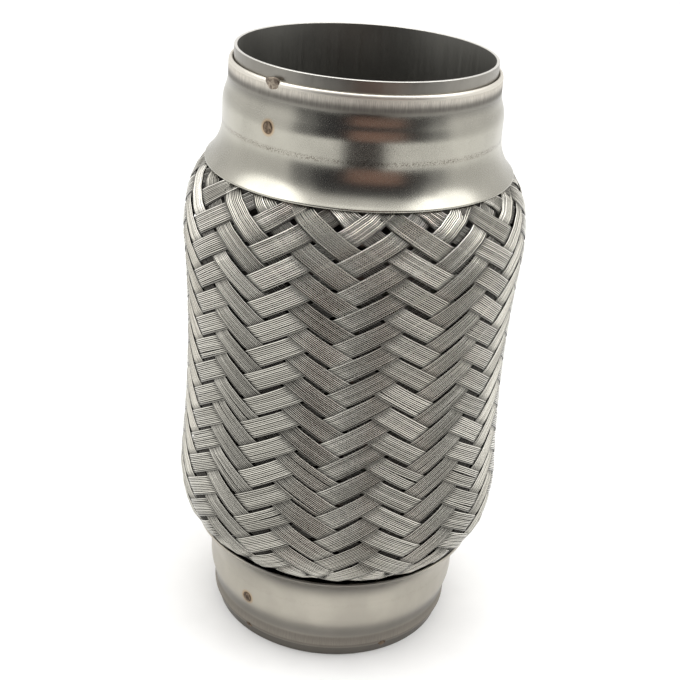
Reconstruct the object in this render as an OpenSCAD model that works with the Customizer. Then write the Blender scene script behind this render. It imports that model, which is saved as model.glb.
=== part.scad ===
// Flexible exhaust pipe: a thin metal bellows inside a woven wire braid, both clamped at each
// end between a flared end cap and a plain inner ring. It stands on its lower ring, axis on Z.

/* [Pipe] */
// Inside diameter of both ends, for a 3.5 inch pipe
bore_d = 89; // [70:0.5:110]
// Length from the end of one inner ring to the end of the other
overall_length = 224; // [205:1:280]

/* [Inner rings] */
// Sheet thickness of the inner rings
ring_wall = 1.1; // [0.8:0.1:2]
// Length of each inner ring
ring_length = 30; // [24:1:36]
// Length of inner ring that shows past the lip of its end cap
ring_shows = 4; // [2:0.5:7]
// Broken outer edge at both ends of an inner ring
ring_edge = 0.25; // [0.1:0.05:0.4]

/* [End caps] */
// Sheet thickness of the end caps
cap_wall = 1.2; // [0.8:0.1:1.6]
// Open seam between the lip of an end cap and its inner ring
lip_gap = 0.3; // [0.2:0.05:0.5]
// Height of the lip, which rolls in towards the ring
lip_height = 1.8; // [1.6:0.1:2.4]
// Height of the narrow band behind the lip
band_height = 3.8; // [3:0.2:7]
// Height of the smooth step from the band up to the collar
step_height = 10; // [8:0.5:16]
// Height of the straight collar that clamps the braid
collar_height = 6; // [5:0.5:12]
// Height of the flare
flare_height = 14.4; // [10:0.2:18]
// How far the flare spreads past the collar
flare_spread = 5.8; // [3:0.2:7]

/* [Bellows] */
// Sheet thickness of the bellows
bellows_wall = 0.4; // [0.2:0.05:0.6]
// Number of convolutions
convolutions = 11; // [6:1:13]
// Plain length of bellows between the rim of a flare and the first convolution
plain_length = 4; // [2:0.5:10]
// Clear space between the crests and the inside of the braid
crest_gap = 1; // [0.5:0.1:4]

/* [Braid] */
// Ribbons of wire that wind each way round
ribbons = 24; // [16:2:30]
// Rows of ribbons from one flare to the other
ribbon_rows = 15; // [10:1:18]
// Turn of the whole weave about the axis, in degrees
weave_turn = 2.25; // [0:0.25:30]
// How far the shoulders of the braid stand out past the flares
shoulder_out = 7.6; // [4:0.2:12]
// Distance from a flare to the widest place of its shoulder
shoulder_length = 26; // [16:1:40]
// How much narrower the waist is than the shoulders
waist_in = 2.1; // [0:0.1:4]
// Depth of the weave, from the ridges to the gaps
weave_depth = 1.1; // [0.4:0.1:1.6]
// Thickness of the braid below its lowest places
braid_floor = 0.8; // [0.5:0.1:1.5]
// Thickness of the braid where a collar clamps it
clamped_wall = 1; // [0.8:0.1:1.6]
// Rows of open gaps below the upper flare
upper_gap_rows = 3; // [0:1:3]
// Rows of open gaps above the lower flare
lower_gap_rows = 2; // [0:1:2]
// Size of a gap, as a share of the way to the next one
gap_share = 0.16; // [0.08:0.02:0.3]
// How far a ribbon stays back from the edge of its cell, as a share of the cell
ribbon_edge = 0.07; // [0.04:0.01:0.15]
// Level of a ribbon where it dives, as a share of the weave's depth
dive_level = 0.5; // [0.2:0.05:0.9]

/* [Fit] */
// Clear space between the bellows and the sheets that hold it
seat_gap = 0.1; // [0.05:0.05:0.2]
// Clear space on each side of the clamped braid
braid_gap = 0.25; // [0.15:0.05:0.4]

/* [Hidden] */
$fn = 96;
arc_steps = 6;

cap_colour = [0.71, 0.70, 0.67];
ring_colour = [0.60, 0.59, 0.57];
bellows_colour = [0.54, 0.53, 0.50];
braid_colour = [0.58, 0.57, 0.53];

// Radii stacked from the bore outwards
ring_in_r = bore_d / 2;
ring_out_r = ring_in_r + ring_wall;
lip_r = ring_out_r + lip_gap;
cuff_in_r = ring_out_r + seat_gap;
cuff_out_r = cuff_in_r + bellows_wall;
band_r = cuff_out_r + seat_gap + cap_wall;
// The inside of the braid is a polygon, whose flats clear the round cuff of the bellows
flat_share = cos(180 / ribbons);
clamped_in_r = (cuff_out_r + braid_gap) / flat_share;
collar_r = clamped_in_r + clamped_wall + braid_gap + cap_wall;
flare_r = collar_r + flare_spread;
shoulder_r = flare_r + shoulder_out;
waist_r = shoulder_r - waist_in;

// Heights stacked from the lower end upwards
lip_z = ring_shows;
band_z = lip_z + lip_height;
step_z = band_z + band_height;
collar_z = step_z + step_height;
flare_z = collar_z + collar_height;
rim_z = flare_z + flare_height;
flare_end_z = rim_z - cap_wall / 2;
middle_z = overall_length / 2;

// The flare is one arc in the middle of its sheet, upright at the collar and turned out at the rim
flare_turn = 2 * atan(flare_spread / (flare_end_z - flare_z));
flare_arc_r = (flare_end_z - flare_z) / sin(flare_turn);
flare_centre = [collar_r - cap_wall / 2 + flare_arc_r, flare_z];
// Place [radius, height] where the outside of the braid leaves the flare
mouth = flare_point(cap_wall + braid_gap, 1);

// Lattice of the weave. Where the column and row add up to an even number, four ribbons meet in a
// corner. The other points are crossings, each in the middle of a diamond cell with four corners.
columns = 2 * ribbons;
rows = 2 * ribbon_rows;
column_angle = 360 / columns;
flare_rows = 5;
tail_rows = flare_rows + 1;
fade_rows = 2;
braid_low_z = mouth.y;
braid_reach = middle_z - braid_low_z;
row_height = 2 * braid_reach / rows;
gap_rows = concat(
    [for (k = [0:1:lower_gap_rows - 1]) fade_rows + k],
    [for (k = [0:1:upper_gap_rows - 1]) rows - fade_rows - k]
);
// Steps [column, row] from a crossing to the left, bottom, right and top corner of its cell
corner_steps = [[-1, 0], [0, -1], [1, 0], [0, 1]];
// Side of a cell over which its ribbon runs on, for four columns in turn. Each ribbon goes over two
// crossings and under the next two, so right-hand ribbons lie on top in the first two columns and
// left-hand ribbons in the other two. Side k runs from corner k to the next.
joined_sides = [2, 0, 1, 3];
// Steps from a corner to the four corners next to it, and the one a ribbon covers, by column
ways = [[1, 1], [-1, 1], [-1, -1], [1, -1]];
covered_ways = [3, 1, 0, 2];

// Convolutions of the bellows, between two plain lengths
first_fold_z = rim_z + plain_length;
fold_pitch = 2 * (middle_z - first_fold_z) / convolutions;
fold_r = fold_pitch / 4;
root_r = cuff_in_r + bellows_wall / 2;
crest_limit_r = min(braid_inside_r(middle_z), braid_inside_r(first_fold_z + fold_r));
crest_r = crest_limit_r - crest_gap - bellows_wall / 2;

function wrap(value, size) = (value % size + size) % size;

function on_circle(centre, radius, angle) = centre + radius * [cos(angle), sin(angle)];

// Smooth S made of two equal arcs between two places [radius, height], moved inwards by depth
function s_line(low, high, depth) =
    let (
        turn = 2 * atan((high.x - low.x) / (high.y - low.y)),
        arc_r = (high.y - low.y) / (2 * sin(turn))
    )
    concat(
        [for (k = [0:arc_steps])
            on_circle([low.x + arc_r, low.y], arc_r + depth, 180 - turn * k / arc_steps)],
        [for (k = [1:arc_steps])
            on_circle([high.x - arc_r, high.y], arc_r - depth, turn * (k / arc_steps - 1))]
    );

// Place on the flare at a depth below its outer surface, where share is 0 at the collar and 1 at the rim
function flare_point(depth, share) =
    on_circle(flare_centre, flare_arc_r - cap_wall / 2 + depth, 180 - share * flare_turn);

// Side of an end cap at a depth below its outer surface, from the band to the rim
function cap_side(depth) = concat(
    [[band_r - depth, band_z]],
    s_line([band_r, step_z], [collar_r, collar_z], depth),
    [for (k = [0:2 * arc_steps]) flare_point(depth, k / (2 * arc_steps))]
);

function reverse(list) = [for (k = [len(list) - 1:-1:0]) list[k]];

module end_cap_form() {
    lip_middle_r = lip_r + cap_wall / 2;
    lip_edge = [for (k = [0:arc_steps])
        on_circle([lip_middle_r, lip_z + cap_wall / 2], cap_wall / 2, 180 + 90 * k / arc_steps)];
    lip_roll = [for (k = [1:arc_steps - 1])
        let (turn = 90 * k / arc_steps)
        [lip_middle_r + (band_r - lip_middle_r) * sin(turn), band_z - lip_height * cos(turn)]];
    rim_edge = [for (k = [1:arc_steps - 1])
        on_circle([flare_r - cap_wall / 2, flare_end_z], cap_wall / 2, 180 * k / arc_steps - flare_turn)];
    rotate_extrude()
        polygon(concat(lip_edge, lip_roll, cap_side(0), rim_edge, reverse(cap_side(cap_wall))));
}

module inner_ring_form() {
    rotate_extrude()
        polygon([
            [ring_in_r, 0],
            [ring_out_r - ring_edge, 0],
            [ring_out_r, ring_edge],
            [ring_out_r, ring_length - ring_edge],
            [ring_out_r - ring_edge, ring_length],
            [ring_in_r, ring_length]
        ]);
}

module at_upper_end() {
    translate([0, 0, overall_length])
        mirror([0, 0, 1])
            children();
}

module lower_end_cap() {
    color(cap_colour)
        end_cap_form();
}

module upper_end_cap() {
    color(cap_colour)
        at_upper_end()
            end_cap_form();
}

module lower_inner_ring() {
    color(ring_colour)
        inner_ring_form();
}

module upper_inner_ring() {
    color(ring_colour)
        at_upper_end()
            inner_ring_form();
}

// One convolution, from root to root, at a depth outside the middle of its sheet
function fold_line(start_z, depth) = concat(
    [for (k = [0:arc_steps])
        on_circle([root_r + fold_r, start_z], fold_r - depth, 180 - 90 * k / arc_steps)],
    [for (k = [0:2 * arc_steps])
        on_circle([crest_r - fold_r, start_z + 2 * fold_r], fold_r + depth, -90 + 90 * k / arc_steps)],
    [for (k = [0:arc_steps - 1])
        on_circle([root_r + fold_r, start_z + fold_pitch], fold_r - depth, 270 - 90 * k / arc_steps)]
);

function bellows_side(depth) = concat(
    [[root_r + depth, band_z + seat_gap]],
    [for (k = [0:convolutions - 1]) each fold_line(first_fold_z + k * fold_pitch, depth)],
    [[root_r + depth, overall_length - first_fold_z]],
    [[root_r + depth, overall_length - band_z - seat_gap]]
);

module bellows() {
    color(bellows_colour)
        rotate_extrude()
            polygon(concat(bellows_side(bellows_wall / 2), reverse(bellows_side(-bellows_wall / 2))));
}

// Radius of the braid's ridges at a height: a waist in the middle and a shoulder at each end
function ridge_r(z) =
    let (
        away = abs(z - middle_z),
        straight = braid_reach - shoulder_length,
        over = min(1, max(0, away - straight) / shoulder_length)
    )
    away < straight
        ? waist_r + waist_in * pow(away / straight, 2)
        : shoulder_r - (shoulder_r - mouth.x) * (1 - sqrt(1 - over * over));

// Radius of the largest cylinder that fits inside the braid at a height
function braid_inside_r(z) = (ridge_r(z) - weave_depth - braid_floor) * flat_share;

// The weave fades out towards the flares
function fade(row) = max(0, min(1, row / fade_rows, (rows - row) / fade_rows));

// Place [radius, height] of a row on one side of the braid, where side is 0 outside and 1 inside.
// Rows below 0 follow the flare down to the clamped end.
function low_row_place(side, row) =
    let (
        depth = cap_wall + braid_gap + side * clamped_wall,
        z = braid_low_z + row * row_height,
        wall = clamped_wall + (weave_depth + braid_floor - clamped_wall) * fade(row)
    )
    row < -flare_rows ? [collar_r - depth, collar_z] :
    row < 0 ? flare_point(depth, 1 + row / flare_rows) :
    [ridge_r(z) - side * wall, z];

function row_place(side, row) =
    let (place = low_row_place(side, min(row, rows - row)))
    row > rows / 2 ? [place.x, overall_length - place.y] : place;

// Point of the braid, where level is 1 on top of a ribbon and 0 at the bottom of the weave
function braid_point(side, at, level) =
    let (
        place = row_place(side, at.y),
        sunk = side == 0 ? weave_depth * fade(at.y) * (1 - level) : 0,
        angle = weave_turn + at.x * column_angle
    )
    [(place.x - sunk) * cos(angle), (place.x - sunk) * sin(angle), place.y];

function row_corners(row) = [for (column = [wrap(row, 2):2:columns - 1]) [column, row]];
function row_cells(row) = row_corners(row + 1) - [for (k = [1:ribbons]) [0, 1]];

// The cell that the ribbon of a cell runs on into, and the side between them, or -1 at a flare
function next_cell(cell) =
    let (side = joined_sides[wrap(cell.x, 4)])
    cell + corner_steps[side] + corner_steps[(side + 1) % 4];
function joined_side(cell) =
    let (row = next_cell(cell).y)
    row > 0 && row < rows ? joined_sides[wrap(cell.x, 4)] : -1;
function is_joined(cell, k) =
    let (side = joined_side(cell))
    side >= 0 && (k == side || k == (side + 1) % 4);

// Corner of the ribbon on top of a cell: it stays back from the open sides of the cell
function ribbon_corner(cell, k) =
    let (
        corner = cell + corner_steps[k],
        last = cell + corner_steps[(k + 3) % 4],
        next = cell + corner_steps[(k + 1) % 4],
        side = joined_side(cell),
        back = (side == k ? 0 : ribbon_edge) * (last - corner),
        along = (side == (k + 3) % 4 ? 0 : ribbon_edge) * (next - corner)
    )
    braid_point(0, corner + back + along, is_joined(cell, k) ? 1 : dive_level);

function is_gap(at) = len([for (row = gap_rows) if (row == at.y) row]) > 0;

// Corner of a gap, part of the way to the next corner of the lattice
function gap_corner(side, at, way) =
    let (
        from = braid_point(side, at, 0),
        to = braid_point(side, at + ways[way], 0)
    )
    from + gap_share * (to - from);

lattice_rows = [-tail_rows:rows + tail_rows];
cells = [for (row = [1:rows - 1]) each row_cells(row)];
gaps = [for (row = gap_rows) each row_corners(row)];
lattice_points =
    [for (side = [0, 1]) for (row = lattice_rows) for (at = row_corners(row)) braid_point(side, at, 0)];
ribbon_points = [for (cell = cells) for (k = [0:3]) ribbon_corner(cell, k)];
gap_points = [for (side = [0, 1]) for (gap = gaps) for (way = [0:3]) gap_corner(side, gap, way)];

// Numbers of points in the list of all points
function in_row(at) = floor(wrap(at.x, columns) / 2);
function corner_number(side, at) =
    side * len(lattice_points) / 2 + (at.y + tail_rows) * ribbons + in_row(at);
function gap_number(side, at, way) =
    let (gap = search(at.y, gap_rows)[0] * ribbons + in_row(at))
    way == covered_ways[wrap(at.x, 4)]
        ? corner_number(side, at)
        : len(lattice_points) + len(ribbon_points) + (side * len(gaps) + gap) * 4 + way;
function ribbon_number(cell, k) =
    let (
        shared = is_joined(cell, k) && wrap(cell.x, 2) == 1,
        owner = shared ? next_cell(cell) : cell,
        corner = search([cell + corner_steps[k] - owner], corner_steps)[0]
    )
    len(lattice_points) + ((owner.y - 1) * ribbons + in_row(owner)) * 4 + corner;

// Number of a cell's corner on the way to another of its corners, where a gap opens it
function open_number(side, cell, k, toward) =
    let (at = cell + corner_steps[k % 4], to = cell + corner_steps[toward % 4])
    is_gap(at) ? gap_number(side, at, search([to - at], ways)[0]) : corner_number(side, at);

// The top of a ribbon, the slopes down to the open sides, and a cut at each gap
function ribbon_faces(cell) =
    let (top = [for (k = [0:3]) ribbon_number(cell, k)])
    concat(
        [[top[0], top[1], top[2]], [top[0], top[2], top[3]]],
        [for (k = [0:3]) if (k != joined_side(cell))
            let (from = open_number(0, cell, k, k + 1), to = open_number(0, cell, k + 1, k))
            each [[from, to, top[(k + 1) % 4]], [from, top[(k + 1) % 4], top[k]]]],
        [for (k = [0:3]) if (is_gap(cell + corner_steps[k]))
            [open_number(0, cell, k, k + 3), open_number(0, cell, k, k + 1), top[k]]]
    );

// The plain inside of a cell, from its bottom corner round
function inside_faces(cell) =
    let (loop = [for (k = [1:4]) each is_gap(cell + corner_steps[k % 4])
        ? [open_number(1, cell, k, k + 3), open_number(1, cell, k, k + 1)]
        : [corner_number(1, cell + corner_steps[k % 4])]])
    [for (k = [1:len(loop) - 2]) [loop[0], loop[k + 1], loop[k]]];

// Half cells along the flares, and plain rows inside them
function plain_faces(side) = concat(
    [for (cell = row_cells(0)) [for (k = [0, 2, 3]) corner_number(side, cell + corner_steps[k])]],
    [for (cell = row_cells(rows)) [for (k = [0, 1, 2]) corner_number(side, cell + corner_steps[k])]],
    [for (row = lattice_rows) if (row < 0 || (row >= rows && row < rows + tail_rows))
        for (at = row_corners(row))
            let (near = [for (step = [[0, 0], [2, 0], [3, 1], [1, 1]]) corner_number(side, at + step)])
            each [[near[0], near[1], near[3]], [near[1], near[2], near[3]]]]
);

function gap_faces(gap) =
    [for (way = [0:3])
        let (
            outside = [gap_number(0, gap, way), gap_number(0, gap, (way + 1) % 4)],
            inside = [gap_number(1, gap, way), gap_number(1, gap, (way + 1) % 4)]
        )
        each [[inside[1], inside[0], outside[0]], [inside[1], outside[0], outside[1]]]];

// Flat end of the braid, facing up
function end_faces(row) =
    [for (at = row_corners(row))
        let (
            outside = [corner_number(0, at), corner_number(0, at + [2, 0])],
            inside = [corner_number(1, at), corner_number(1, at + [2, 0])]
        )
        each [[outside[0], outside[1], inside[1]], [outside[0], inside[1], inside[0]]]];

function flip(faces) = [for (face = faces) reverse(face)];

// Faces of the braid, counter-clockwise as seen from outside its metal
function braid_faces() = concat(
    [for (cell = cells) each ribbon_faces(cell)],
    [for (cell = cells) each inside_faces(cell)],
    plain_faces(0),
    flip(plain_faces(1)),
    [for (gap = gaps) each gap_faces(gap)],
    end_faces(rows + tail_rows),
    flip(end_faces(-tail_rows))
);

module outer_braid() {
    color(braid_colour)
        polyhedron(
            points = concat(lattice_points, ribbon_points, gap_points),
            faces = flip(braid_faces())
        );
}

lower_end_cap();
upper_end_cap();
lower_inner_ring();
upper_inner_ring();
bellows();
outer_braid();
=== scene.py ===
import math

import bpy
import numpy as np
from mathutils import Matrix, Vector


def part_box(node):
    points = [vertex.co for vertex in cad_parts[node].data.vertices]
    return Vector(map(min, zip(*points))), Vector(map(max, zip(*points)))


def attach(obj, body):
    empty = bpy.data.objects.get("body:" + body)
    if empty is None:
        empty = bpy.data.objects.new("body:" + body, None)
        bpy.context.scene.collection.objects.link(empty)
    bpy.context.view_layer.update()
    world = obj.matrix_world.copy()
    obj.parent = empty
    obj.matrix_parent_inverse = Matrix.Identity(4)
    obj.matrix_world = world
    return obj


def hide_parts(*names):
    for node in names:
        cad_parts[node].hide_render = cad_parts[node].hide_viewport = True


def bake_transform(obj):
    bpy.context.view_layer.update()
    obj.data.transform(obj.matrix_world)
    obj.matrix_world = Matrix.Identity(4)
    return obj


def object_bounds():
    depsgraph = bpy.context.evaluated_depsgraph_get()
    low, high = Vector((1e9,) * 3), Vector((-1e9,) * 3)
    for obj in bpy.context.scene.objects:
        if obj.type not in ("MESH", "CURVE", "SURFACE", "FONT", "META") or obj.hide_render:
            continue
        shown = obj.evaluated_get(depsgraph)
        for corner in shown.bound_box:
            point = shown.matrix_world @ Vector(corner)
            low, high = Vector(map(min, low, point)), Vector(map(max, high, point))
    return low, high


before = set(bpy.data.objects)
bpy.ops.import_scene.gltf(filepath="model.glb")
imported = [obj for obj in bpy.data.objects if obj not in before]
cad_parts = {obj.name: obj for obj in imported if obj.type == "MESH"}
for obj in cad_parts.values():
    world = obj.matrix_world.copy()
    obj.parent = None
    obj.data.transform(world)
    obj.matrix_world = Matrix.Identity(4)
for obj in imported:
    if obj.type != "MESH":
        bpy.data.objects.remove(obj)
cad_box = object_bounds()

MM = 0.001
SEED = 41

# Sizes that the solids give
cap_low, cap_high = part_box("lower_end_cap")
_, ring_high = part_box("lower_inner_ring")
pipe_height = cad_box[1].z
flare_r = cap_high.x
rim_z = cap_high.z
lip_z = cap_low.z
ring_out_r = ring_high.x
ring_length = ring_high.z

# Sheet of the end caps, from the lip to the rim of the flare; trims are degrees left off the ends of arcs
CAP_WALL = 1.2 * MM
LIP_GAP = 0.3 * MM
LIP_HEIGHT = 1.8 * MM
BAND_OUT = 1.8 * MM
BAND_HEIGHT = 3.8 * MM
STEP_HEIGHT = 10.0 * MM
COLLAR_HEIGHT = 6.0 * MM
FLARE_SPREAD = 5.8 * MM
LIP_TRIM = 6
RIM_TRIM = 10
CAP_SEGMENTS = 192
ARC_STEPS = 12

lip_r = ring_out_r + LIP_GAP
band_r = ring_out_r + BAND_OUT
collar_r = flare_r - FLARE_SPREAD
band_z = lip_z + LIP_HEIGHT
step_z = band_z + BAND_HEIGHT
collar_z = step_z + STEP_HEIGHT
flare_z = collar_z + COLLAR_HEIGHT
flare_end_z = rim_z - CAP_WALL / 2
flare_turn = 2 * math.atan(FLARE_SPREAD / (flare_end_z - flare_z))
flare_arc_r = (flare_end_z - flare_z) / math.sin(flare_turn)
flare_centre_r = collar_r - CAP_WALL / 2 + flare_arc_r

# Slight unevenness of the caps: coarse and fine waves round the pipe, and how the fine ones turn with
# height, in radians to the metre
CAP_UNEVEN = 0.05 * MM
COARSE_WAVES = 3
FINE_WAVES = 5
FINE_SHARE = 0.6
FINE_TURN = 90
CAP_PHASES = {"lower": 0.4, "upper": 1.3}

# Inner rings
RING_WALL = 1.1 * MM
RING_EDGE = 0.25 * MM
EDGE_STEPS = 4
RING_SEGMENTS = 160
ring_in_r = ring_out_r - RING_WALL

# Bellows
BELLOWS_WALL = 0.4 * MM
SEAT_GAP = 0.1 * MM
CONVOLUTIONS = 11
PLAIN_LENGTH = 4.0 * MM
CREST_GAP = 1.0 * MM
BELLOWS_SEGMENTS = 80
FOLD_STEPS = 4

# Braid: its outline, and the lattice of its weave
RIBBONS = 24
ROWS = 30
WIRES = 11
COLUMN_ANGLE = math.pi / RIBBONS
WEAVE_TURN = math.radians(2.25)
SHOULDER_OUT = 7.6 * MM
SHOULDER_LENGTH = 26.0 * MM
WAIST_IN = 2.1 * MM
BRAID_GAP = 0.25 * MM
BRAID_WALL = 1.9 * MM
BOX_ROOM = 0.33 * MM
SLOPE_STEP = 0.2 * MM
STEEPEST = 2.5
middle_z = pipe_height / 2
mouth_arc_r = flare_arc_r + CAP_WALL / 2 + BRAID_GAP
mouth_r = flare_centre_r - mouth_arc_r * math.cos(flare_turn)
braid_low_z = flare_z + mouth_arc_r * math.sin(flare_turn)
braid_reach = middle_z - braid_low_z
row_height = 2 * braid_reach / ROWS
shoulder_r = flare_r + SHOULDER_OUT
waist_r = shoulder_r - WAIST_IN

# Wires of the braid, and how their ribbons pass over and under each other
WIRE_THICK = 0.46 * MM
WIRE_FILL = 0.82
RIBBON_FILL = 0.87
RIBBON_WIDTH = 7.1 * MM
RIBBON_CROWN = 0.06 * MM
WEAVE_SWING = 0.30 * MM
WEAVE_SHARPNESS = 3.2
END_SWING = 0.55
SWING_ROWS = 2
WIRE_SIDES = 6
RING_STEPS = (-0.7, -0.35, 0, 0.35, 0.7, 2.0)
TAIL_STEPS = 3

# Drift of the ribbons and wires, with the shortest and longest of its waves in steps along a ribbon
RIBBON_WANDER = 0.28 * MM
RIBBON_WAVES = (9, 30)
WIRE_WANDER = 0.06 * MM
WIRE_LIFT = 0.05 * MM
WIRE_WAVES = (5, 16)
WANDER_WAVES = 4
WANDER_GAIN = 1.6

# Splits between the wires of a ribbon
SPLITS = 40
SPLIT_OPEN = 0.5 * MM
SPLIT_LEAST = 0.4
SPLIT_STEPS = 2.2
SPLIT_MARGIN = 10

# Unevenness of the whole weave, and how far its last rows are drawn in at the mouths
TWIST = math.radians(1.1)
TWIST_ROW = 16
SAG = 0.45 * MM
SAG_ROWS = 2
BUNCH = 0.8 * MM
BUNCH_ROW = 22.5
BUNCH_ROWS = 3.0
LOWER_SINK = 2.1 * MM
UPPER_SINK = 0.6 * MM
MOUTH_ROWS = 2.0

# Painted shade on the wires: under others, less so in the top rows, and on one edge of each ribbon
UNDER_START = 0.35
UNDER_RANGE = 0.85
LIT_ROWS = 5
LIT_SHARE = 0.4
EDGE_SHARE = 0.4
EDGE_SHADE = 0.6
TOP_EDGE_SHADE = 0.98
# A painted highlight on the other edge of each ribbon, and random tones of ribbons and wires
EDGE_SHINE = 0.35
RIBBON_TONE = 0.35
WIRE_TONE = 0.65


def new_object(name, points, faces):
    """A smooth-shaded mesh object."""
    mesh = bpy.data.meshes.new(name)
    mesh.from_pydata(np.asarray(points).reshape(-1, 3).tolist(), [], faces)
    mesh.polygons.foreach_set("use_smooth", np.ones(len(mesh.polygons), bool))
    mesh.update()
    item = bpy.data.objects.new(name, mesh)
    bpy.context.scene.collection.objects.link(item)
    return item


def lathe(name, profile, segments, uneven=None):
    """A closed profile of places [radius, height], turned about the pipe's axis."""
    profile = np.asarray(profile)
    angle = np.arange(segments)[:, None] * 2 * math.pi / segments
    radius = profile[:, 0] + (uneven(angle, profile[:, 1]) if uneven else 0)
    height = np.broadcast_to(profile[:, 1], (segments, len(profile)))
    points = np.stack([radius * np.cos(angle), radius * np.sin(angle), height], -1)
    count = len(profile)
    faces = []
    for turn in range(segments):
        here, there = turn * count, (turn + 1) % segments * count
        for low in range(count):
            high = (low + 1) % count
            faces.append((here + low, there + low, there + high, here + high))
    return new_object(name, points, faces)


def arc(centre, radius, start, end, steps=ARC_STEPS):
    """Places [radius, height] on an arc, or on an ellipse where radius is a pair; angles in degrees."""
    angle = np.radians(np.linspace(start, end, steps + 1))
    wide, high = radius if isinstance(radius, tuple) else (radius, radius)
    return np.stack([centre[0] + wide * np.cos(angle), centre[1] + high * np.sin(angle)], -1)


def s_curve(low, high, depth):
    """Places on a smooth S of two equal arcs between low and high, moved inwards by depth."""
    turn = 2 * math.degrees(math.atan((high[0] - low[0]) / (high[1] - low[1])))
    arc_r = (high[1] - low[1]) / (2 * math.sin(math.radians(turn)))
    lower = arc((low[0] + arc_r, low[1]), arc_r + depth, 180, 180 - turn)
    upper = arc((high[0] - arc_r, high[1]), arc_r - depth, -turn, 0)
    return np.concatenate([lower, upper[1:]])


def at_upper_end(profile):
    """The same profile at the upper end of the pipe."""
    profile = np.asarray(profile)[::-1]
    return np.stack([profile[:, 0], pipe_height - profile[:, 1]], -1)


def flare_side(depth):
    """Places on the flare, one arc from the collar to the rim, at a depth below its outer surface."""
    reach = flare_arc_r - CAP_WALL / 2 + depth
    return arc((flare_centre_r, flare_z), reach, 180, 180 - math.degrees(flare_turn), 2 * ARC_STEPS)


def cap_side(depth):
    """Places on a cap's sheet from the band to the rim, at a depth below its outer surface."""
    return np.concatenate([s_curve((band_r, step_z), (collar_r, collar_z), depth), flare_side(depth)])


def cap_profile():
    """Section of the lower end cap."""
    lip_middle = lip_r + CAP_WALL / 2
    turn = math.degrees(flare_turn)
    return np.concatenate([
        arc((lip_middle, lip_z + CAP_WALL / 2), CAP_WALL / 2, 180, 270 - LIP_TRIM),
        arc((lip_middle, band_z), (band_r - lip_middle, LIP_HEIGHT), -90, 0),
        cap_side(0),
        arc((flare_r - CAP_WALL / 2, flare_end_z), CAP_WALL / 2, RIM_TRIM - turn, 180 - RIM_TRIM - turn),
        cap_side(CAP_WALL)[::-1],
        [(band_r - CAP_WALL, band_z)],
    ])


def ring_profile():
    """Section of the lower inner ring."""
    outer, inner = ring_out_r - RING_EDGE, ring_in_r + RING_EDGE
    top = ring_length - RING_EDGE
    return np.concatenate([
        arc((inner, RING_EDGE), RING_EDGE, 180, 270, EDGE_STEPS),
        arc((outer, RING_EDGE), RING_EDGE, 270, 360, EDGE_STEPS),
        arc((outer, top), RING_EDGE, 0, 90, EDGE_STEPS),
        arc((inner, top), RING_EDGE, 90, 180, EDGE_STEPS),
    ])


def bellows_profile():
    """Section of the bellows: round folds between two plain cuffs."""
    root_r = ring_out_r + SEAT_GAP + BELLOWS_WALL / 2
    crest_r = outline_r(middle_z) - BRAID_WALL - CREST_GAP - BELLOWS_WALL / 2
    first_z = rim_z + PLAIN_LENGTH
    pitch = 2 * (middle_z - first_z) / CONVOLUTIONS
    fold_r = pitch / 4
    sides = []
    for depth in (BELLOWS_WALL / 2, -BELLOWS_WALL / 2):
        side = [[(root_r + depth, band_z + SEAT_GAP)]]
        for k in range(CONVOLUTIONS):
            low = first_z + k * pitch
            side += [
                arc((root_r + fold_r, low), fold_r - depth, 180, 90, FOLD_STEPS),
                arc((crest_r - fold_r, low + pitch / 2), fold_r + depth, -90, 90, 2 * FOLD_STEPS),
                arc((root_r + fold_r, low + pitch), fold_r - depth, 270, 180, FOLD_STEPS)[:-1],
            ]
        side += [[(root_r + depth, pipe_height - z) for z in (first_z, band_z + SEAT_GAP)]]
        sides.append(np.concatenate(side))
    return np.concatenate([sides[0], sides[1][::-1]])


def outline_r(z):
    """Outer radius of the braid at a height: a waist between shoulders, and the insides of the flares."""
    away = np.abs(np.asarray(z, float) - middle_z)
    straight = braid_reach - SHOULDER_LENGTH
    over = np.clip((away - straight) / SHOULDER_LENGTH, 0, 1)
    waist = waist_r + WAIST_IN * np.minimum(away / straight, 1) ** 2
    shoulder = shoulder_r - (shoulder_r - mouth_r) * (1 - np.sqrt(1 - over ** 2))
    flare = flare_side(CAP_WALL + BRAID_GAP)
    inside = np.minimum(np.interp(middle_z - away, flare[:, 1], flare[:, 0]), mouth_r)
    return np.where(away < straight, waist, np.where(away <= braid_reach, shoulder, inside))


def slope_at(z):
    """How fast the outline widens with height."""
    rise = (outline_r(z + SLOPE_STEP) - outline_r(z - SLOPE_STEP)) / (2 * SLOPE_STEP)
    return np.clip(rise, -STEEPEST, STEEPEST)


def ribbon_pitch(z):
    """Distance between the middles of two neighbouring ribbons of one hand."""
    column = outline_r(z) * COLUMN_ANGLE
    row = row_height * np.hypot(1, slope_at(z))
    return 2 * column * row / np.hypot(column, row)


def wander(random, shape, along, lengths):
    """Smooth random values from about -1 to 1 along the ribbons, one row for each item of shape."""
    length = random.uniform(*lengths, (*shape, WANDER_WAVES, 1))
    phase = random.uniform(0, 2 * math.pi, (*shape, WANDER_WAVES, 1))
    return WANDER_GAIN * np.sin(2 * math.pi * along / length + phase).mean(-2)


def wire_steps(hand):
    """Steps along a ribbon, two to a row, at which its wires have points: close together where it dives."""
    first_dive = 1 if hand > 0 else 3
    steps = np.array([first_dive + 4 * k + step for k in range(-2, ROWS // 2 + 2) for step in RING_STEPS])
    return steps[(steps > -TAIL_STEPS) & (steps < 2 * ROWS + TAIL_STEPS)]


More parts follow.
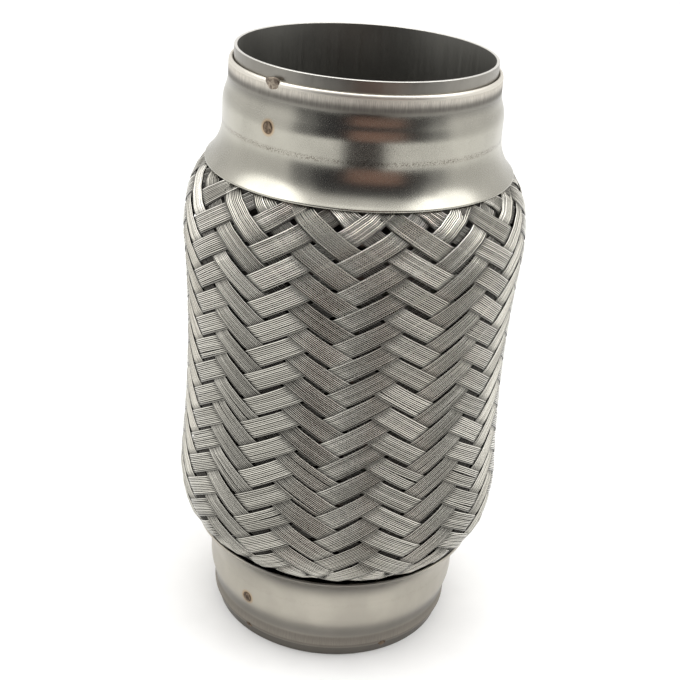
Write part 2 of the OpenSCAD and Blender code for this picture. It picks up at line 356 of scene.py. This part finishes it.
def wire_offsets(share, width, along, random):
    """Places of the wires across their ribbons, which drift, and which split here and there."""
    offset = share * width + RIBBON_WANDER * wander(random, (RIBBONS, 1), along, RIBBON_WAVES)
    offset = offset + WIRE_WANDER * wander(random, (RIBBONS, WIRES), along, WIRE_WAVES)
    for _ in range(SPLITS):
        ribbon = random.integers(RIBBONS)
        place = random.uniform(SPLIT_MARGIN, 2 * ROWS - SPLIT_MARGIN)
        wire = random.integers(2, WIRES - 1)
        opened = SPLIT_OPEN * random.uniform(SPLIT_LEAST, 1)
        spread = opened * np.exp(-((along - place) / SPLIT_STEPS) ** 2)
        offset[ribbon] += np.where(np.arange(WIRES)[:, None] < wire, -0.5, 0.5) * spread
    return offset


def wire_shade(hand, share, row, rise):
    """Painted shade where wires pass under others, less so in the top rows, and on one edge of each ribbon.
    """
    lit = np.clip((row - ROWS) / LIT_ROWS + 1, 0, 1)
    under = (1 - LIT_SHARE * lit) * np.clip((UNDER_START - rise) / UNDER_RANGE, 0, 1)
    edge = EDGE_SHADE + (TOP_EDGE_SHADE - EDGE_SHADE) * lit
    return np.where(hand * share > EDGE_SHARE, np.maximum(under, edge), under)


def wire_places(hand, random):
    """Middle points, outward directions, painted shades and pitch of all wires of one hand.

    They are sorted by ribbon, wire and ring. Each ribbon goes over two ribbons of the other hand and then
    under two."""
    along = wire_steps(hand)
    row = along / 2
    from_flare = np.minimum(row, ROWS - row)
    line = (2 * np.arange(RIBBONS) + 1)[:, None, None]
    middle = braid_low_z + row_height * row
    pitch = ribbon_pitch(middle)
    width = np.minimum(RIBBON_FILL * pitch, RIBBON_WIDTH)
    share = (np.arange(WIRES) - (WIRES - 1) / 2)[:, None] / WIRES
    shift = 2 * wire_offsets(share, width, along, random) / pitch
    column = line + hand * row + shift / 2
    bunch = BUNCH * np.exp(-(((row - BUNCH_ROW) / BUNCH_ROWS) ** 2))
    sag = SAG * np.clip(from_flare / SAG_ROWS, 0, 1) + bunch
    z = middle - sag - row_height * hand * shift / 2
    swing = WEAVE_SWING * (END_SWING + (1 - END_SWING) * np.clip(from_flare / SWING_ROWS, 0, 1))
    wave = np.cos(math.pi / 2 * (line + hand * row - 0.5))
    height = hand * swing * np.tanh(WEAVE_SHARPNESS * wave) / math.tanh(WEAVE_SHARPNESS)
    lift = WIRE_LIFT * wander(random, (RIBBONS, WIRES), along, WIRE_WAVES) - RIBBON_CROWN * 4 * share ** 2
    sink = np.where(row < ROWS / 2, LOWER_SINK, UPPER_SINK) * np.clip(1 - from_flare / MOUTH_ROWS, 0, 1)
    radius = outline_r(z) - BOX_ROOM - swing - WIRE_THICK / 2 + height + lift - sink
    twist = TWIST * np.sin(2 * math.pi * (row - TWIST_ROW) / ROWS)
    angle = WEAVE_TURN + COLUMN_ANGLE * column + twist
    points = np.stack([radius * np.cos(angle), radius * np.sin(angle), z], -1)
    outward = np.stack([np.cos(angle), np.sin(angle), -slope_at(z)], -1)
    return points, outward, wire_shade(hand, share, row, height / swing), width / WIRES


def wire_mesh(name, points, outward, depth, tone_and_shine, pitch):
    """One mesh of closed wires, each with an oval section."""
    count, rings = points.shape[:2]
    forward = np.gradient(points, axis=1)
    forward /= np.linalg.norm(forward, axis=-1, keepdims=True)
    outward = outward - (outward * forward).sum(-1, keepdims=True) * forward
    outward /= np.linalg.norm(outward, axis=-1, keepdims=True)
    sideways = np.cross(forward, outward)
    angle = (np.arange(WIRE_SIDES) + 0.5) * 2 * math.pi / WIRE_SIDES
    across = np.cos(angle)[:, None] * (WIRE_FILL * pitch / 2)[:, None, None]
    upright = np.sin(angle)[:, None] * WIRE_THICK / 2
    skin = points[:, :, None] + across * sideways[:, :, None] + upright * outward[:, :, None]
    ring = np.arange(WIRE_SIDES)
    after = (ring + 1) % WIRE_SIDES
    start = np.arange(count)[:, None, None] * rings * WIRE_SIDES
    near = start + np.arange(rings - 1)[:, None] * WIRE_SIDES
    far = near + WIRE_SIDES
    walls = np.stack([near + ring, far + ring, far + after, near + after], -1).reshape(-1, 4)
    first = np.arange(count)[:, None] * rings * WIRE_SIDES
    last = first + (rings - 1) * WIRE_SIDES
    ends = np.concatenate([first + ring, last + ring[::-1]])
    wires = new_object(name, skin, walls.tolist() + ends.tolist())
    # Random tones with a painted highlight on one edge wire, painted shade in the grooves, and painted
    # shade under other ribbons, kept per point
    shades = {
        "tone_and_shine": np.repeat(tone_and_shine, rings * WIRE_SIDES),
        "groove": np.tile((1 - np.sin(angle)) / 2, count * rings),
        "depth": np.repeat(depth, WIRE_SIDES),
    }
    for word, values in shades.items():
        shade = wires.data.attributes.new(word, "FLOAT", "POINT")
        shade.data.foreach_set("value", values.astype(np.float32))
    return wires


def make_braid():
    """The wires of both hands, half of the ribbons of a hand in each piece."""
    random = np.random.default_rng(SEED)
    pieces = []
    for hand, word in ((1, "right"), (-1, "left")):
        points, outward, depth, pitch = wire_places(hand, random)
        tone_and_shine = RIBBON_TONE * random.random((RIBBONS, 1)) + WIRE_TONE * random.random((RIBBONS, WIRES))
        # The wire on the other edge of each ribbon gets a painted highlight
        tone_and_shine[:, 0 if hand > 0 else -1] += EDGE_SHINE
        for half in (0, 1):
            some = slice(half * RIBBONS // 2, (half + 1) * RIBBONS // 2)
            flat = [item[some].reshape(-1, *item.shape[2:]) for item in (points, outward, depth, tone_and_shine)]
            pieces.append(wire_mesh(f"braid_{word}_{half + 1}", *flat, pitch))
    return pieces


class Finish:
    """A material made of nodes, with short calls for the nodes that the finishes share."""

    def __init__(self, name, **sockets):
        self.material = bpy.data.materials.new(name)
        self.material.use_nodes = True
        self.tree = self.material.node_tree
        self.surface = self.tree.nodes["Principled BSDF"]
        self.place = self.node("ShaderNodeTexCoord").outputs["Object"]
        self.set(**sockets)

    def set(self, **sockets):
        for name, value in sockets.items():
            self.feed(self.surface.inputs[name.replace("_", " ")], value)

    def feed(self, socket, value):
        """Gives a socket a link or a value; a colour is red, green and blue."""
        if isinstance(value, bpy.types.NodeSocket):
            self.tree.links.new(value, socket)
        else:
            socket.default_value = (*value, 1.0) if socket.type == "RGBA" else value

    def node(self, kind, *values, **settings):
        made = self.tree.nodes.new(kind)
        for name, value in settings.items():
            setattr(made, name, value)
        for socket, value in zip(made.inputs, values):
            self.feed(socket, value)
        return made

    def math(self, operation, *values):
        return self.node("ShaderNodeMath", *values, operation=operation).outputs[0]

    def vector(self, operation, *values):
        return self.node("ShaderNodeVectorMath", *values, operation=operation)

    def noise(self, scale, stretch=(1, 1, 1), detail=3.0):
        """Noise from 0 to 1; scale is in features to the metre."""
        place = self.vector("MULTIPLY", self.place, stretch).outputs[0]
        made = self.node("ShaderNodeTexNoise")
        self.feed(made.inputs["Vector"], place)
        self.feed(made.inputs["Scale"], scale)
        self.feed(made.inputs["Detail"], detail)
        return made.outputs["Fac"]

    def range(self, value, low, high, out_low=0.0, out_high=1.0):
        """Value from low to high, laid over out_low to out_high with soft ends."""
        return self.node(
            "ShaderNodeMapRange", value, low, high, out_low, out_high, interpolation_type="SMOOTHSTEP"
        ).outputs[0]

    def fade(self, value, place, ends, strength=1.0):
        """From 0 up to strength between two distances from a place."""
        return self.range(value, place + ends[0], place + ends[1], 0, strength)

    def mix(self, share, first, second):
        """Colour between two colours."""
        made = self.node("ShaderNodeMix", data_type="RGBA")
        self.feed(made.inputs["Factor"], share)
        self.feed(made.inputs[6], first)
        self.feed(made.inputs[7], second)
        return made.outputs[2]

    def bump(self, height, depth):
        made = self.node("ShaderNodeBump")
        self.feed(made.inputs["Strength"], 1.0)
        self.feed(made.inputs["Distance"], depth)
        self.feed(made.inputs["Height"], height)
        self.set(Normal=made.outputs[0])

    def coordinate(self, axis):
        return self.node("ShaderNodeSeparateXYZ", self.place).outputs[axis]

    def height(self):
        return self.coordinate("Z")

    def radius(self):
        flat = self.vector("MULTIPLY", self.place, (1, 1, 0)).outputs[0]
        return self.vector("LENGTH", flat).outputs["Value"]

    def distance(self, point):
        return self.vector("DISTANCE", self.place, tuple(point)).outputs["Value"]


def cap_point(azimuth, from_end, upper):
    """A point on the outside of an end cap, and the direction out of it there."""
    side = np.concatenate([[(band_r, band_z)], cap_side(0)])
    radius = np.interp(from_end, side[:, 1], side[:, 0])
    angle = math.radians(azimuth)
    outward = Vector((math.cos(angle), math.sin(angle), 0))
    height = pipe_height - from_end if upper else from_end
    return outward * radius + Vector((0, 0, height)), outward


# Looks of the two caps: roughness and tint of the collar, tints of the band's two edges, which differ as
# painted light, and of the lip, a painted highlight on the upper cap; strength of the scratches and of the
# dots in the crease, and the shade at the step: where it starts and is full, above the step, and its
# strength; tints are red, green and blue
CAP_LOOKS = {
    "lower": {
        "gloss": 0.34,
        "tint": (0.43, 0.404, 0.35),
        "band_end": (0.31, 0.286, 0.25),
        "band_foot": (0.265, 0.244, 0.213),
        "lip_highlight_and_tint": (0.235, 0.214, 0.186),
        "scratch": 0.14,
        "dots": 0.1,
        "step_fade": (8.4 * MM, 2.0 * MM),
        "step_shade": 0.62,
    },
    "upper": {
        "gloss": 0.22,
        "tint": (0.415, 0.402, 0.352),
        "band_end": (0.66, 0.625, 0.56),
        "band_foot": (0.2, 0.19, 0.17),
        "lip_highlight_and_tint": (0.7, 0.667, 0.6),
        "scratch": 0.34,
        "dots": 0.85,
        "step_fade": (4.0 * MM, 0.0),
        "step_shade": 0.7,
    },
}

# Where the parts of a cap's finish start and are full, from the ends of the band, the rim and the crease
BAND_START = (-0.8 * MM, 0.0)
BAND_STOP = (1.2 * MM, -0.6 * MM)
BAND_BLEND = (0.4 * MM, 0.8 * MM)
LIP_FADE = (0.2 * MM, -0.5 * MM)
RIM_FADE = (-11.5 * MM, -3.5 * MM)
CREASE_FADE = (1.3 * MM, 0.2 * MM)

# Tints and strengths of the caps' finish; only the lower cap has a shade under its rim, at the front, which
# is told by shares of the rim's radius
DULL_SHARE = 0.86
SCRATCH_TINT = (0.05, 0.046, 0.04)
SHADE_TINT = (0.09, 0.085, 0.08)
CREASE_TINT = (0.13, 0.11, 0.09)
RIM_SHADE = 0.66
FRONT = (-0.65, -0.91)
SMUDGE_ROUGH = 0.06
GRAIN_ROUGH = 0.06
BAND_ROUGH = 0.32
LIP_ROUGH = 0.16
LINE_DEPTHS = (0.04, 0.6)
STREAK_DEPTH = 0.12
CAP_BUMP = 0.06 * MM

# Heat tints round a weld, in shares of its radius: where each starts and is full, its strength and tint
HEAT_TINTS = (
    ((1.5, 0.95), 0.6, (0.40, 0.26, 0.13)),
    ((1.05, 0.8), 0.92, (0.07, 0.045, 0.03)),
    ((0.5, 0.25), 0.5, (0.3, 0.23, 0.17)),
)


def cap_finish(
    name, upper, welds, gloss, tint, band_end, band_foot, lip_highlight_and_tint, scratch, dots, step_fade, step_shade
):
    """Drawn stainless sheet: polished collar, band with brush marks, painted light on band and lip, weld
    heat tints.
    """
    look = Finish(name, Metallic=1.0)
    from_end = look.height()
    if upper:
        from_end = look.math("SUBTRACT", pipe_height, from_end)
    band = look.math(
        "MULTIPLY", look.fade(from_end, band_z, BAND_START), look.fade(from_end, step_z, BAND_STOP)
    )
    scratches = look.noise(5200, (1, 1, 0.045), 3)
    smudges = look.noise(55, (1, 1, 0.8), 4)
    streaks = look.noise(420, (1, 1, 0.05), 3)
    grain = look.noise(3200, detail=2)
    dull = tuple(DULL_SHARE * part for part in tint)
    base = look.mix(look.range(smudges, 0.35, 0.7), tint, dull)
    # The band is lighter at its end and darker at its foot: painted light
    down_band = look.range(from_end, band_z + BAND_BLEND[0], step_z - BAND_BLEND[1])
    brushed_and_shaded = look.mix(down_band, band_end, band_foot)
    worn = look.math("MULTIPLY", look.range(scratches, 0.38, 0.62), scratch)
    base = look.mix(band, base, look.mix(worn, brushed_and_shaded, SCRATCH_TINT))
    # The lip's tint is a painted highlight on the upper cap, and darker on the lower cap
    lip = look.fade(from_end, band_z, LIP_FADE)
    base = look.mix(lip, base, lip_highlight_and_tint)
    shade = look.fade(from_end, step_z, step_fade, step_shade)
    shade = look.math("MULTIPLY", shade, look.math("SUBTRACT", 1, look.math("MAXIMUM", band, lip)))
    if not upper:
        under_rim = look.fade(from_end, rim_z, RIM_FADE, RIM_SHADE)
        front = look.range(look.coordinate("Y"), *(part * flare_r for part in FRONT))
        shade = look.math("MAXIMUM", shade, look.math("MULTIPLY", under_rim, front))
    base = look.mix(shade, base, SHADE_TINT)
    from_crease = look.math("ABSOLUTE", look.math("SUBTRACT", from_end, flare_z))
    specks = look.range(look.noise(2600, detail=2), 0.47, 0.6)
    crease = look.math("MULTIPLY", look.range(from_crease, *CREASE_FADE), specks)
    base = look.mix(look.math("MULTIPLY", crease, dots), base, CREASE_TINT)
    for azimuth, end, size in welds:
        point, _ = cap_point(azimuth, end, upper)
        away = look.math("DIVIDE", look.distance(point), size)
        for ends, strength, heat_tint in HEAT_TINTS:
            base = look.mix(look.range(away, *ends, 0, strength), base, heat_tint)
    rough = look.math("ADD", gloss, look.range(smudges, 0.3, 0.75, 0, SMUDGE_ROUGH))
    rough = look.math("ADD", rough, look.math("MULTIPLY", band, BAND_ROUGH))
    rough = look.math("ADD", rough, look.math("MULTIPLY", lip, LIP_ROUGH))
    rough = look.math("ADD", rough, look.range(grain, 0.5, 0.8, 0, GRAIN_ROUGH))
    look.set(Base_Color=base, Roughness=rough)
    lines = look.math("MULTIPLY", scratches, look.range(band, 0, 1, *LINE_DEPTHS))
    look.bump(look.math("ADD", lines, look.math("MULTIPLY", streaks, STREAK_DEPTH)), CAP_BUMP)
    return look.material


# Finish of the rings: tints from clean to smudged, darker inside as painted shade, and where the inside,
# the cut end and the painted shade of the lower ring start
RING_OUTER = ((0.30, 0.288, 0.26), (0.24, 0.23, 0.207))
RING_INNER = ((0.20, 0.197, 0.18), (0.155, 0.152, 0.139))
RING_CUT = (0.7, 0.685, 0.645)
RING_LOW_SHADE = (0.13, 0.119, 0.105)
INSIDE_FADE = (0.16 * MM, 0.08 * MM)
CUT_FADE = (-0.2 * MM, -0.05 * MM)
LOW_SHADE_FADE = (50 * MM, 30 * MM)
LOW_SHADE_SHARE = 0.75
RING_ROUGH = (0.3, 0.5)
RING_STREAKS = 0.1
RING_BUMP = 0.02 * MM


def ring_finish():
    """Satin sheet, dull inside with painted shade; the upper end is cut bright; the lower ring has painted
    shade.
    """
    look = Finish("ring_steel_looks", Metallic=1.0)
    height = look.height()
    inside = look.fade(look.radius(), ring_in_r, INSIDE_FADE)
    cut = look.fade(height, pipe_height, CUT_FADE)
    # Painted shade over the lower ring, full below 30 mm
    low_shade = look.range(height, *LOW_SHADE_FADE, 0, LOW_SHADE_SHARE)
    streaks = look.noise(900, (1, 1, 0.04), 3)
    smudges = look.noise(40, detail=5)
    outer = look.mix(look.range(smudges, 0.3, 0.7), *RING_OUTER)
    outer = look.mix(low_shade, outer, RING_LOW_SHADE)
    # Darker tints inside: painted shade
    inner = look.mix(look.range(smudges, 0.35, 0.75), *RING_INNER)
    base = look.mix(cut, look.mix(inside, outer, inner), RING_CUT)
    uneven = look.range(streaks, 0.3, 0.8, 0, RING_STREAKS)
    rough = look.math("ADD", look.range(inside, 0, 1, *RING_ROUGH), uneven)
    look.set(Base_Color=base, Roughness=rough)
    look.bump(streaks, RING_BUMP)
    return look.material


# Finish of the bellows: tints from clean to smudged, and roughness
BELLOWS_TINTS = ((0.42, 0.405, 0.375), (0.3, 0.29, 0.268))
BELLOWS_ROUGH = (0.34, 0.5)


def bellows_finish():
    """Thin stainless sheet with faint smudges."""
    look = Finish("bellows_steel_looks", Metallic=1.0)
    smudges = look.noise(120, detail=4)
    base = look.mix(look.range(smudges, 0.3, 0.7), *BELLOWS_TINTS)
    look.set(Base_Color=base, Roughness=look.range(smudges, 0.2, 0.8, *BELLOWS_ROUGH))
    return look.material


# Finish of the braid: tints from dark to light wires, of patches, of the upper shoulder, which is made
# darker, and of its painted glints, and painted shade in the grooves between wires and on wires that pass
# under others, with their strengths
WIRE_TINTS = ((0.33, 0.32, 0.284), (0.67, 0.652, 0.587))
PATCH_TINT = (0.38, 0.35, 0.295)
PATCH_SHARE = 0.4
SHOULDER_TINT = (0.3, 0.285, 0.245)
SHOULDER_SHARE = 0.3
SHOULDER_FULL = 0.6
GLINT_TINT = (0.97, 0.94, 0.87)
GLINT_TONES = (0.48, 0.95)
GLINT_SHARE = 0.85
GROOVE_SHADE = (0.03, 0.028, 0.025)
GROOVE_FADE = (0.1, 0.42)
UNDER_SHADE = (0.012, 0.011, 0.01)
UNDER_SHARE = 0.92
WIRE_ROUGH = (0.17, 0.26)


def braid_finish():
    """Satin stainless wire; the brightness of each wire differs at random.

    Painted shade lies in the grooves and on wires under others; the upper shoulder is darker, with painted
    glints."""
    look = Finish("braid_steel_looks", Metallic=1.0)
    tone_and_shine, groove, depth = (
        look.node("ShaderNodeAttribute", attribute_name=word).outputs["Fac"]
        for word in ("tone_and_shine", "groove", "depth")
    )
    patches = look.noise(26, detail=3)
    flecks = look.noise(1400, detail=2)
    base = look.mix(tone_and_shine, *WIRE_TINTS)
    base = look.mix(look.range(patches, 0.45, 0.75, 0, PATCH_SHARE), base, PATCH_TINT)
    # The upper shoulder is made darker, and its lighter wires get painted glints
    shoulder = look.fade(look.height(), pipe_height - rim_z, (-SHOULDER_LENGTH, 0))
    shoulder_darkened = look.range(shoulder, 0, SHOULDER_FULL, 0, SHOULDER_SHARE)
    base = look.mix(shoulder_darkened, base, SHOULDER_TINT)
    glints = look.math("MULTIPLY", shoulder, look.range(tone_and_shine, *GLINT_TONES, 0, GLINT_SHARE))
    base = look.mix(glints, base, GLINT_TINT)
    # Painted shade in the grooves between wires
    base = look.mix(look.range(groove, *GROOVE_FADE), base, GROOVE_SHADE)
    # Painted shade on wires that pass under others
    base = look.mix(look.math("MULTIPLY", depth, UNDER_SHARE), base, UNDER_SHADE)
    look.set(Base_Color=base, Roughness=look.range(flecks, 0.25, 0.75, *WIRE_ROUGH))
    return look.material


# Welds: azimuth in degrees, distance from the end of the pipe, and radius of a spot or scale of a tack
SPOTS = {
    "lower": [(-128.8, 19.0 * MM, 2.3 * MM)],
    "upper": [(-127.8, 19.0 * MM, 2.3 * MM)],
}
TACKS = {
    "lower": [(-129.2, 5.0 * MM, 0.6), (-61.5, 4.6 * MM, 0.6)],
    "upper": [(-128.3, 5.0 * MM, 1.0)],
}
TACK_SIZE = (3.1 * MM, 2.3 * MM, 0.65 * MM)
TACK_SUNK = 0.3 * MM
TACK_TINTS = ((0.28, 0.24, 0.19), (0.12, 0.095, 0.075))
SPOT_WIDE = 0.7
SPOT_HIGH = 0.85
SPOT_THICK = 0.16 * MM
SPOT_DENT = 0.5
SPOT_TINTS = ((0.18, 0.135, 0.095), (0.055, 0.037, 0.025))
WELD_ROUGH = (0.25, 0.45)
WELD_BUMP = 0.08 * MM

# Mesh of a weld: its rings and turns, the waves of its outline, how deep it sits, and the width of its dent
BLOB_RINGS = 10
BLOB_TURNS = 28
BLOB_WAVES = 4
BLOB_UNEVEN = 0.07
BLOB_SUNK = 0.12
DENT_WIDTH = 0.38


def weld_finish(name, tints):
    """Mottled weld metal."""
    look = Finish(name, Metallic=0.85)
    mottle = look.noise(900, detail=4)
    look.set(
        Base_Color=look.mix(look.range(mottle, 0.35, 0.65), *tints),
        Roughness=look.range(mottle, 0.3, 0.7, *WELD_ROUGH),
    )
    look.bump(mottle, WELD_BUMP)
    return look.material


def blob(name, place, outward, size, random, dent=0.0):
    """A low uneven lump of weld metal on a surface: size is its half width, half height and thickness."""
    wide, high, thick = size
    side = Vector((0, 0, 1)).cross(outward)
    waves = random.uniform(-1, 1, BLOB_WAVES)
    points = []
    for ring in range(1, BLOB_RINGS + 1):
        reach = ring / BLOB_RINGS
        rise = math.sqrt(max(0, 1 - reach ** 2)) - dent * math.exp(-(reach / DENT_WIDTH) ** 2)
        for turn in range(BLOB_TURNS):
            angle = 2 * math.pi * turn / BLOB_TURNS
            outline = sum(wave * math.cos((k + 2) * angle + k) for k, wave in enumerate(waves))
            uneven = 1 + BLOB_UNEVEN * outline
            flat = side * (wide * reach * uneven * math.cos(angle))
            tall = Vector((0, 0, high * reach * uneven * math.sin(angle)))
            points.append(place + flat + tall + outward * (thick * rise - BLOB_SUNK * thick))
    points.append(place + outward * (thick * (1 - BLOB_SUNK - dent)))
    points.append(place - outward * thick)
    top, bottom = len(points) - 2, len(points) - 1
    faces = []
    for turn in range(BLOB_TURNS):
        after = (turn + 1) % BLOB_TURNS
        faces.append((top, turn, after))
        for ring in range(BLOB_RINGS - 1):
            inner, outer = ring * BLOB_TURNS, (ring + 1) * BLOB_TURNS
            faces.append((inner + turn, outer + turn, outer + after, inner + after))
        last = (BLOB_RINGS - 1) * BLOB_TURNS
        faces.append((last + turn, bottom, last + after))
    return new_object(name, [tuple(point) for point in points], faces)


def dress(piece, material):
    """Gives a piece its finish."""
    piece.data.materials.append(material)


def cap_waves(phase):
    """Slight unevenness of a drawn sheet, growing away from its lip."""
    def uneven(angle, height):
        from_end = np.minimum(height, pipe_height - height)
        share = np.clip((from_end - band_z) / (rim_z - band_z), 0, 1)
        coarse = np.sin(COARSE_WAVES * angle + phase)
        fine = np.sin(FINE_WAVES * angle + 2 * phase + FINE_TURN * height)
        return CAP_UNEVEN * share * (coarse + FINE_SHARE * fine)
    return uneven


def make_cap(word, upper, body):
    """An end cap."""
    form = at_upper_end if upper else np.asarray
    cap = lathe(f"{word}_cap_sheet", form(cap_profile()), CAP_SEGMENTS, cap_waves(CAP_PHASES[word]))
    dress(cap, cap_finish(f"{word}_cap_looks", upper, SPOTS[word], **CAP_LOOKS[word]))
    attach(cap, body)
    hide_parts(f"{word}_end_cap")


def make_ring(word, upper, body, ring_look):
    """An inner ring."""
    form = at_upper_end if upper else np.asarray
    ring = lathe(f"{word}_ring_sheet", form(ring_profile()), RING_SEGMENTS)
    dress(ring, ring_look)
    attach(ring, body)
    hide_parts(f"{word}_inner_ring")


def make_welds(word, upper, body, spot_look, tack_look, random):
    """The spot welds and tacks of one cap."""
    for number, (azimuth, end, size) in enumerate(SPOTS[word], 1):
        place, outward = cap_point(azimuth, end, upper)
        spread = (size * SPOT_WIDE, size * SPOT_HIGH, SPOT_THICK)
        spot = blob(f"{word}_spot_weld_{number}", place, outward, spread, random, SPOT_DENT)
        dress(spot, spot_look)
        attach(spot, body)
    for number, (azimuth, end, scale) in enumerate(TACKS[word], 1):
        place, outward = cap_point(azimuth, end, upper)
        size = tuple(scale * side for side in TACK_SIZE)
        tack = blob(f"{word}_tack_weld_{number}", place - outward * TACK_SUNK, outward, size, random)
        dress(tack, tack_look)
        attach(tack, body)


def make_ends():
    """Both end caps and inner rings, with their welds; the lower tacks are as dark as the spots."""
    random = np.random.default_rng(SEED + 1)
    ring_look = ring_finish()
    tack_look = weld_finish("tack_weld_looks", TACK_TINTS)
    spot_look = weld_finish("spot_weld_looks", SPOT_TINTS)
    for word, upper, own_tack_look in (("lower", False, spot_look), ("upper", True, tack_look)):
        body = f"{word}_end"
        make_cap(word, upper, body)
        make_ring(word, upper, body, ring_look)
        make_welds(word, upper, body, spot_look, own_tack_look, random)


def bend(piece, node):
    """Bakes a flexible piece's place into its mesh and hides the solid that it stands for."""
    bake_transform(piece)
    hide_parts(node)


def make_flexible():
    """The bellows and the braid."""
    bellows = lathe("bellows_sheet", bellows_profile(), BELLOWS_SEGMENTS)
    dress(bellows, bellows_finish())
    bend(bellows, "bellows")
    wire_look = braid_finish()
    for piece in make_braid():
        dress(piece, wire_look)
        bend(piece, "outer_braid")


# Camera, fitted to the rims in the photograph
CAMERA_PLACE = (0, -425.45 * MM, 314.45 * MM)
CAMERA_PITCH = 0.4419
CAMERA_YAW = 0.0054
CAMERA_ROLL = 0.0709
FOCAL_PIXELS = 1233.19
IMAGE_PIXELS = 680
SENSOR = 36.0
CLIP_START = 10 * MM


def make_camera():
    """The camera at the photograph's viewing angle."""
    data = bpy.data.cameras.new("camera")
    data.sensor_width = SENSOR
    data.lens = FOCAL_PIXELS / IMAGE_PIXELS * SENSOR
    data.clip_start = CLIP_START
    camera = bpy.data.objects.new("camera", data)
    bpy.context.scene.collection.objects.link(camera)
    camera.matrix_world = (
        Matrix.Translation(CAMERA_PLACE)
        @ Matrix.Rotation(CAMERA_YAW, 4, "Z")
        @ Matrix.Rotation(math.pi / 2 - CAMERA_PITCH, 4, "X")
        @ Matrix.Rotation(CAMERA_ROLL, 4, "Z")
    )
    bpy.context.scene.camera = camera


# Brightness of the room round the pipe
PALE = (1.0, 0.99, 0.975)

# Floor: half its width, its speckled tints, and the distances from the pipe between which it turns white
FLOOR_REACH = 8.0
FLOOR_TINTS = ((0.86, 0.86, 0.855), (0.88, 0.88, 0.875))
FLOOR_WHITE = (1.0, 1.0, 1.0)
FLOOR_FADE = (0.5, 3.5)

# Soft lights: place, the point that each faces, size and power
LIGHTS = {
    "top_light": ((0, 0.05, 1.5), (0, 0.05, 0), (1.3, 1.1), 9),
    "left_light": ((-0.95, -0.1, 1.15), (0, 0, 0.2), (1.1, 1.0), 6.5),
    "right_light": ((0.95, -0.1, 1.15), (0, 0, 0.2), (1.1, 1.0), 6.5),
}

# Upright cards in front of the pipe: distance, azimuths in degrees, heights, shade, and heights of a fade
WALL_CARDS = {
    "room_card": (0.80, (-125, -36), (0.10, 1.3), (0.034, 0.036, 0.042), (0.82, 1.22)),
    "room_left_card": (0.80, (-143, -125), (0.10, 1.3), (0.24, 0.24, 0.245), (0.5, 1.1)),
    "room_right_card": (0.80, (-36, -20), (0.10, 0.8), (0.4, 0.4, 0.405), (0.35, 0.78)),
    "leg_card": (0.80, (-103, -71), (0, 0.12), (0.06, 0.06, 0.064), None),
    "warm_card": (0.78, (-98, -57), (0.13, 0.46), (0.39, 0.24, 0.195), None),
}
CARD_STEPS = 24

# Card that lies in front of the pipe, just over the floor
TABLE_Z = 0.6 * MM
TABLE_CORNERS = ((-0.17, -0.80), (0.28, -0.80), (0.19, -0.34), (-0.12, -0.34))
TABLE_SHADE = (0.032, 0.034, 0.038)


def panel(name, place, aim, size, power):
    """A soft light."""
    data = bpy.data.lights.new(name, "AREA")
    data.shape = "ELLIPSE"
    data.size, data.size_y = size
    data.energy = power
    light = bpy.data.objects.new(name, data)
    bpy.context.scene.collection.objects.link(light)
    light.location = place
    light.rotation_euler = (Vector(aim) - Vector(place)).to_track_quat("-Z", "Y").to_euler()


def card(name, points, faces, shade, fade=None):
    """A card that shows only in reflections; fade is two heights between which it turns pale."""
    mesh = bpy.data.meshes.new(name)
    mesh.from_pydata(points, [], faces)
    item = bpy.data.objects.new(name, mesh)
    bpy.context.scene.collection.objects.link(item)
    look = Finish(name + "_looks", Base_Color=(0, 0, 0), Roughness=1.0, Specular_IOR_Level=0.0)
    glow = shade
    if fade:
        glow = look.mix(look.range(look.height(), *fade), glow, PALE)
    look.set(Emission_Color=glow, Emission_Strength=1.0)
    item.data.materials.append(look.material)
    item.visible_camera = False
    item.visible_diffuse = False
    item.visible_shadow = False
    item.visible_transmission = False


def wall_card(name, reach, azimuths, heights, shade, fade):
    """An upright card that curves round the pipe between two azimuths in degrees."""
    points = []
    for k in range(CARD_STEPS + 1):
        angle = math.radians(azimuths[0] + (azimuths[1] - azimuths[0]) * k / CARD_STEPS)
        points += [(reach * math.cos(angle), reach * math.sin(angle), z) for z in heights]
    faces = [(2 * k, 2 * k + 2, 2 * k + 3, 2 * k + 1) for k in range(CARD_STEPS)]
    card(name, points, faces, shade, fade)


def make_floor():
    """A pale plain floor."""
    signs = ((-1, -1), (1, -1), (1, 1), (-1, 1))
    corners = [(FLOOR_REACH * x, FLOOR_REACH * y, 0) for x, y in signs]
    floor = new_object("floor", corners, [(0, 1, 2, 3)])
    look = Finish("floor_looks", Roughness=0.75, Specular_IOR_Level=0.2)
    near = look.mix(look.range(look.noise(60, detail=3), 0.3, 0.7), *FLOOR_TINTS)
    look.set(Base_Color=look.mix(look.range(look.radius(), *FLOOR_FADE), near, FLOOR_WHITE))
    floor.data.materials.append(look.material)


def make_studio():
    """A pale room and floor, soft lights above and beside, and cards in front for the metal to mirror."""
    scene = bpy.context.scene
    scene.view_settings.view_transform = "Standard"
    world = bpy.data.worlds.new("studio")
    world.use_nodes = True
    world.node_tree.nodes["Background"].inputs["Color"].default_value = (*PALE, 1.0)
    world.node_tree.nodes["Background"].inputs["Strength"].default_value = 1.0
    scene.world = world
    make_floor()
    for name, values in LIGHTS.items():
        panel(name, *values)
    for name, values in WALL_CARDS.items():
        wall_card(name, *values)
    corners = [(x, y, TABLE_Z) for x, y in TABLE_CORNERS]
    card("table_card", corners, [(0, 1, 2, 3)], TABLE_SHADE)


make_camera()
make_studio()
make_ends()
make_flexible()
